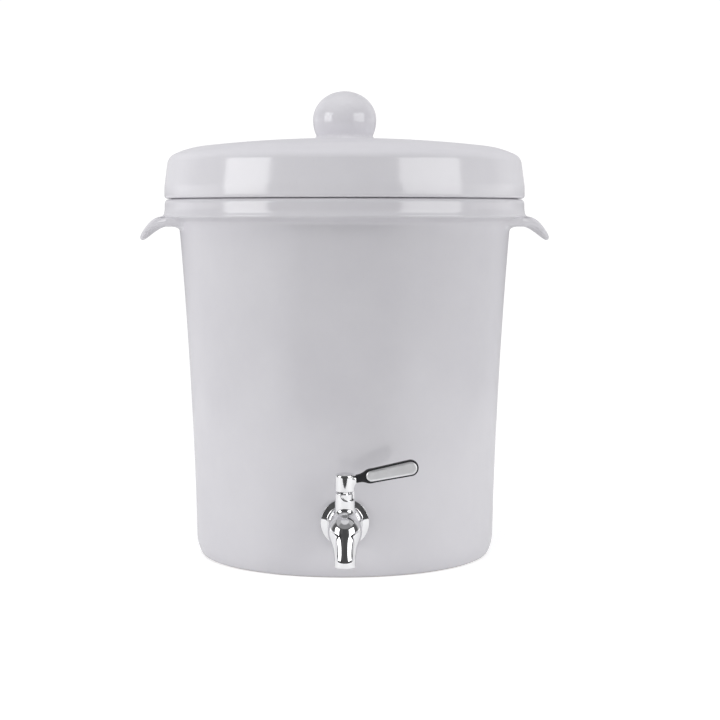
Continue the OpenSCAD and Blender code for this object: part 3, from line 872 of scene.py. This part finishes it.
class Paint:
    """A material's node tree, with short calls for the nodes that every material here needs."""

    def __init__(self, name):
        self.material = bpy.data.materials.new(name)
        self.material.use_nodes = True
        self.tree = self.material.node_tree
        self.shader = self.tree.nodes["Principled BSDF"]
        self.place = self.node("ShaderNodeTexCoord").outputs["Object"]

    def node(self, kind, **settings):
        made = self.tree.nodes.new(kind)
        for key, value in settings.items():
            setattr(made, key, value)
        return made

    def link(self, source, target):
        self.tree.links.new(source, target)

    def set(self, **values):
        for key, value in values.items():
            self.shader.inputs[key.replace("_", " ")].default_value = value

    def stretched(self, scale):
        """Object coordinates scaled differently along each axis."""
        mapping = self.node("ShaderNodeMapping")
        mapping.inputs["Scale"].default_value = scale
        self.link(self.place, mapping.inputs["Vector"])
        return mapping.outputs["Vector"]

    def noise(self, scale, detail=4.0, rough=0.5, place=None):
        """Noise of this many bumps per metre."""
        made = self.node("ShaderNodeTexNoise")
        made.inputs["Scale"].default_value = scale
        made.inputs["Detail"].default_value = detail
        made.inputs["Roughness"].default_value = rough
        self.link(place or self.place, made.inputs["Vector"])
        return made.outputs["Fac"]

    def ranged(self, value, low, high, out_low, out_high):
        """Maps a value's range onto another, clamped."""
        made = self.node("ShaderNodeMapRange")
        for key, number in zip(("From Min", "From Max", "To Min", "To Max"), (low, high, out_low, out_high)):
            made.inputs[key].default_value = number
        self.link(value, made.inputs["Value"])
        return made.outputs["Result"]

    def mixed(self, factor, a, b):
        """A colour between a and b; each is a colour or a socket."""
        colour_a, colour_b, colour_result = 6, 7, 2
        made = self.node("ShaderNodeMix", data_type="RGBA")
        self.link(factor, made.inputs["Factor"])
        for socket, value in ((made.inputs[colour_a], a), (made.inputs[colour_b], b)):
            if isinstance(value, tuple):
                socket.default_value = (*value, 1)
            else:
                self.link(value, socket)
        return made.outputs[colour_result]

    def bump(self, height, depth, under=None):
        """A bump of this depth in metres, laid over another one."""
        made = self.node("ShaderNodeBump")
        made.inputs["Distance"].default_value = depth
        self.link(height, made.inputs["Height"])
        if under:
            self.link(under, made.inputs["Normal"])
        return made.outputs["Normal"]

    def finish(self, colour, roughness, normal=None):
        self.link(colour, self.shader.inputs["Base Color"])
        self.link(roughness, self.shader.inputs["Roughness"])
        if normal:
            self.link(normal, self.shader.inputs["Normal"])
        return self.material


def glaze():
    """Thick pale glaze: a faint cloudiness, a soft orange-peel surface, and a bare clay foot.

    The lid's glaze is painted a little paler than the crock's, and the crock's a little darker: painted light
    on the lid and painted shade on the crock.
    """
    paint = Paint("glaze")
    height = paint.node("ShaderNodeSeparateXYZ")
    paint.link(paint.place, height.inputs["Vector"])
    cloud = paint.ranged(paint.noise(9, 9, 0.66), 0.3, 0.7, 0, 1)
    # Painted light: one glaze in two shades, paler above the rim to stand in for more light on the lid,
    # darker below it for painted shade on the crock
    crock_glaze_painted_shade = paint.mixed(cloud, (0.685, 0.675, 0.71), (0.74, 0.73, 0.76))
    lid_glaze_painted_light = paint.mixed(cloud, (0.74, 0.73, 0.765), (0.795, 0.785, 0.815))
    lid_painted_light_mask = paint.ranged(height.outputs["Z"], (RIM_Z - 0.4) * MM, (RIM_Z + 0.6) * MM, 0, 1)
    body = paint.mixed(lid_painted_light_mask, crock_glaze_painted_shade, lid_glaze_painted_light)
    speck = paint.ranged(paint.noise(900, 2), 0.70, 0.78, 0, 0.35)
    body = paint.mixed(speck, body, (0.60, 0.58, 0.59))
    ragged = paint.node("ShaderNodeMath", operation="ADD")
    paint.link(height.outputs["Z"], ragged.inputs[0])
    paint.link(paint.ranged(paint.noise(60, 4), 0.3, 0.7, -0.2 * MM, 0.2 * MM), ragged.inputs[1])
    glazed = paint.ranged(ragged.outputs["Value"], 0.2 * MM, 0.6 * MM, 0, 1)
    colour = paint.mixed(glazed, (0.60, 0.55, 0.49), body)
    rough = paint.ranged(paint.noise(35, 3), 0.3, 0.7, 0.45, 0.6)
    slow = paint.bump(paint.noise(22, 2), 250 * MICRON)
    peel = paint.bump(paint.noise(260, 2), 10 * MICRON, slow)
    # The lid's broad top is a little softer than its sides and its knob
    gloss_on_side, gloss_on_top = 0.5, 0.22
    above_side = paint.ranged(height.outputs["Z"], 0.286, 0.292, gloss_on_side, gloss_on_top)
    on_knob = paint.ranged(height.outputs["Z"], 0.303, 0.307, 0, gloss_on_side - gloss_on_top)
    gloss = paint.node("ShaderNodeMath", operation="ADD")
    paint.link(above_side, gloss.inputs[0])
    paint.link(on_knob, gloss.inputs[1])
    coat = paint.node("ShaderNodeMath", operation="MULTIPLY")
    paint.link(gloss.outputs["Value"], coat.inputs[0])
    paint.link(glazed, coat.inputs[1])
    paint.link(coat.outputs["Value"], paint.shader.inputs["Coat Weight"])
    paint.set(Coat_Roughness=0.13, Coat_IOR=2.0, Specular_IOR_Level=0.0)
    return paint.finish(colour, rough, peel)


def fired_clay():
    """Porous red clay with sandy grains, darker patches and fine turning marks."""
    paint = Paint("fired_clay")
    patches = paint.ranged(paint.noise(28, 5, 0.6), 0.3, 0.7, 0, 1)
    body = paint.mixed(patches, (0.50, 0.215, 0.125), (0.62, 0.30, 0.185))
    grain = paint.ranged(paint.noise(1400, 3, 0.7), 0.58, 0.72, 0, 0.7)
    colour = paint.mixed(grain, body, (0.70, 0.45, 0.32))
    turning = paint.noise(30, 4, 0.6, paint.stretched((1, 1, 60)))
    grit = paint.bump(paint.noise(900, 4, 0.7), 250 * MICRON)
    rough = paint.ranged(patches, 0, 1, 0.78, 0.92)
    return paint.finish(colour, rough, paint.bump(turning, 300 * MICRON, grit))


def moulded(name, low, high, rough, grain, depth):
    """A moulded polymer: a slight drift of colour and a fine matt grain, its depth in microns."""
    paint = Paint(name)
    paint.set(Specular_IOR_Level=0.3)
    drift = paint.ranged(paint.noise(45, 3), 0.3, 0.7, 0, 1)
    gloss = paint.ranged(paint.noise(grain / 3, 3), 0.3, 0.7, rough - 0.05, rough + 0.06)
    grain_bump = paint.bump(paint.noise(grain, 3), depth * MICRON)
    return paint.finish(paint.mixed(drift, low, high), gloss, grain_bump)


def steel(name, low, high, rough, along, depth):
    """Steel with fine finishing lines; along gives how tight they are on each axis, depth is in microns."""
    paint = Paint(name)
    lines = paint.noise(1, 4, 0.6, paint.stretched(along))
    smudge = paint.ranged(paint.noise(140, 3), 0.35, 0.7, 0, 1)
    paint.set(Metallic=1.0)
    gloss = paint.ranged(lines, 0.3, 0.7, rough * 0.75, rough * 1.35)
    return paint.finish(paint.mixed(smudge, low, high), gloss, paint.bump(lines, depth * MICRON))


def make_materials():
    """Every finish by the name of its slot."""
    polymers = (
        ("ring_plastic", (0.74, 0.74, 0.73), (0.80, 0.80, 0.79), 0.42, 1500, 20),
        ("white_silicone", (0.70, 0.70, 0.69), (0.76, 0.76, 0.75), 0.58, 2200, 20),
        ("black_silicone", (0.012, 0.012, 0.014), (0.02, 0.02, 0.022), 0.55, 2600, 30),
        ("ptfe", (0.80, 0.80, 0.78), (0.86, 0.86, 0.84), 0.48, 1800, 10),
    )
    steels = (
        ("polished_steel", (0.80, 0.80, 0.81), (0.86, 0.86, 0.87), 0.03, (700, 700, 700), 0.4),
        ("turned_steel", (0.52, 0.52, 0.53), (0.62, 0.62, 0.63), 0.3, (40, 4000, 40), 10),
        ("satin_plate", (0.86, 0.86, 0.87), (0.92, 0.92, 0.93), 0.40, (60, 60, 9000), 6),
        ("dark_screw", (0.10, 0.10, 0.105), (0.16, 0.16, 0.165), 0.4, (2500, 2500, 2500), 10),
    )
    materials = {"glaze": glaze(), "fired_clay": fired_clay()}
    materials.update({look[0]: moulded(*look) for look in polymers})
    materials.update({look[0]: steel(*look) for look in steels})
    return materials


# ---------------------------------------------------------------- scene


def place_pieces(materials):
    """Makes the looks of each piece, puts it on its body and hides the CAD node it stands for."""
    plan = [
        (make_crock, "base", "crock", "glaze"),
        (make_lid, "lid", "lid", "glaze"),
        (make_filter_ring, "filter", "filter_ring", "ring_plastic"),
        (make_filter_gasket, "filter", "filter_gasket", "white_silicone"),
        (make_filter_pot, "filter", "filter_pot", "fired_clay"),
        (make_tap_body, "base", "tap_body", "polished_steel"),
        (make_escutcheon, "base", "escutcheon", "polished_steel"),
        (make_lever_cap, "lever", "lever_cap", "polished_steel"),
        (make_lever_sleeve, "lever", "lever_sleeve", "black_silicone"),
        (make_lever_plate, "lever", "lever_plate", "satin_plate"),
    ]
    for make, body, node, slot in plan:
        piece = make()
        piece.data.materials.clear()
        piece.data.materials.append(materials[slot])
        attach(piece, body)
        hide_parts(node)


def repaint_cad(frame, materials):
    """Gives the CAD nodes that stay in view their finished materials."""
    finishes = {
        "tap_shank": "turned_steel", "tap_washer": "turned_steel", "tap_nut": "turned_steel",
        "valve_ball": "polished_steel", "valve_seats": "ptfe", "valve_stem": "polished_steel",
        "stem_o_rings": "black_silicone", "thrust_washer": "ptfe", "gland_nut": "polished_steel",
        "cap_grub_screw": "dark_screw", "outer_gasket": "white_silicone", "inner_gasket": "white_silicone",
    }
    for node, slot in finishes.items():
        holder = frame["nodes"][node]
        for material_slot in holder.material_slots:
            material_slot.material = materials[slot]


def make_floor():
    """A white table that glows, most of all to the camera, so that it meets the background unseen."""
    left, right, front, back = -TABLE_HALF, TABLE_HALF, -TABLE_FRONT, TABLE_HALF
    corners = ((left, front), (right, front), (right, back), (left, back))
    floor = add_mesh("studio_floor", [(x, y, TABLE_Z) for x, y in corners], [(0, 1, 2, 3)])
    paint = Paint("studio_floor")
    fleck = paint.ranged(paint.noise(3, 3), 0.3, 0.7, 0, 1)
    rays = paint.node("ShaderNodeLightPath")
    glow = paint.node("ShaderNodeMath", operation="ADD")
    to_camera = paint.ranged(rays.outputs["Is Camera Ray"], 0, 1, GLOW_TO_OTHERS, GLOW_TO_CAMERA)
    to_mirrors = paint.ranged(rays.outputs["Is Glossy Ray"], 0, 1, 0, GLOW_TO_MIRRORS)
    paint.link(to_camera, glow.inputs[0])
    paint.link(to_mirrors, glow.inputs[1])
    paint.set(Emission_Color=(1, 1, 1, 1))
    paint.link(glow.outputs["Value"], paint.shader.inputs["Emission Strength"])
    paint.material.cycles.emission_sampling = "NONE"
    colour = paint.mixed(fleck, (0.73, 0.73, 0.73), (0.75, 0.75, 0.75))
    floor.data.materials.append(paint.finish(colour, paint.ranged(fleck, 0, 1, 0.7, 0.8)))


def make_world():
    """Soft studio light from all round; the camera sees plain white."""
    world = bpy.data.worlds.new("studio")
    bpy.context.scene.world = world
    world.use_nodes = True
    nodes, links = world.node_tree.nodes, world.node_tree.links
    nodes.clear()

    def smooth_step(value, start, end):
        step = nodes.new("ShaderNodeMapRange")
        step.interpolation_type = "SMOOTHSTEP"
        step.inputs["From Min"].default_value = start
        step.inputs["From Max"].default_value = end
        links.new(value, step.inputs["Value"])
        return step.outputs["Result"]

    def combined(operation, a, b):
        made = nodes.new("ShaderNodeMath")
        made.operation = operation
        links.new(a, made.inputs[0])
        links.new(b, made.inputs[1])
        return made.outputs["Value"]

    def along(vector, operation, other=None):
        made = nodes.new("ShaderNodeVectorMath")
        made.operation = operation
        links.new(vector, made.inputs[0])
        if other:
            made.inputs[1].default_value = other
        return made.outputs["Value" if operation == "DOT_PRODUCT" else "Vector"]

    direction = nodes.new("ShaderNodeTexCoord").outputs["Generated"]
    height = along(direction, "DOT_PRODUCT", (0, 0, 1))
    level = along(along(direction, "MULTIPLY", (1, 1, 0)), "NORMALIZE")
    rays = nodes.new("ShaderNodeLightPath")
    total = None
    for azimuth, half, low, high, strength, mirrored in SKY:
        choice = nodes.new("ShaderNodeMapRange")
        choice.inputs["To Min"].default_value = strength
        choice.inputs["To Max"].default_value = mirrored
        links.new(rays.outputs["Is Glossy Ray"], choice.inputs["Value"])
        glow = choice.outputs["Result"]
        if low > -90:
            above = smooth_step(height, sine(low - SKY_SOFT), sine(low + SKY_SOFT))
            glow = combined("MULTIPLY", above, glow)
        if high < 90:
            below = smooth_step(height, sine(high + SKY_SOFT), sine(high - SKY_SOFT))
            glow = combined("MULTIPLY", below, glow)
        if half < 180:
            toward = along(level, "DOT_PRODUCT", (sine(azimuth), -sine(90 - azimuth), 0))
            edges = sine(90 - half - AZIMUTH_SOFT), sine(90 - half + AZIMUTH_SOFT)
            glow = combined("MULTIPLY", smooth_step(toward, *edges), glow)
        total = combined("ADD", total, glow) if total else glow
    seen = nodes.new("ShaderNodeBackground")
    seen.inputs["Color"].default_value = (1, 1, 1, 1)
    seen.inputs["Strength"].default_value = BACKGROUND
    light = nodes.new("ShaderNodeBackground")
    light.inputs["Color"].default_value = (0.985, 0.985, 1.0, 1)
    links.new(total, light.inputs["Strength"])
    mix = nodes.new("ShaderNodeMixShader")
    out = nodes.new("ShaderNodeOutputWorld")
    links.new(rays.outputs["Is Camera Ray"], mix.inputs["Fac"])
    links.new(light.outputs[0], mix.inputs[1])
    links.new(seen.outputs[0], mix.inputs[2])
    links.new(mix.outputs[0], out.inputs["Surface"])


def add_softbox(name, azimuth, elevation, distance, width, height, power):
    """A soft light aimed at the crock, in metres and watts; azimuth runs from the tap side towards +X."""
    aim = np.array([0, 0, SOFTBOX_AIM_Z * MM])
    a, e = math.radians(azimuth), math.radians(elevation)
    away = np.array([math.sin(a) * math.cos(e), -math.cos(a) * math.cos(e), math.sin(e)])
    data = bpy.data.lights.new(name, "AREA")
    data.shape = "RECTANGLE"
    data.size, data.size_y = width, height
    data.energy = power
    lamp = bpy.data.objects.new(name, data)
    lamp.location = aim + away * distance
    lamp.rotation_euler = (math.pi / 2 - e, 0, a)
    lamp.visible_camera = False
    bpy.context.scene.collection.objects.link(lamp)


def make_camera():
    data = bpy.data.cameras.new("camera")
    data.lens = LENS
    data.sensor_width = SENSOR_W
    camera = bpy.data.objects.new("camera", data)
    camera.location = CAMERA_PLACE
    camera.rotation_euler = (math.pi / 2 - CAMERA_DOWN, 0, CAMERA_TURN)
    bpy.context.scene.collection.objects.link(camera)
    bpy.context.scene.camera = camera


def set_view():
    view = bpy.context.scene.view_settings
    view.view_transform = "Standard"
    view.look = "None"
    view.exposure = 0.0
    view.gamma = 1.0


def main():
    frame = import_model()
    make_camera()
    set_view()
    make_world()
    add_softbox("softbox_left", -62.5, 15, 1.7, 0.93, 0.92, 9.2)
    add_softbox("softbox_right", 54.5, 15, 1.7, 1.25, 0.92, 9.8)
    make_floor()
    materials = make_materials()
    place_pieces(materials)
    repaint_cad(frame, materials)


main()
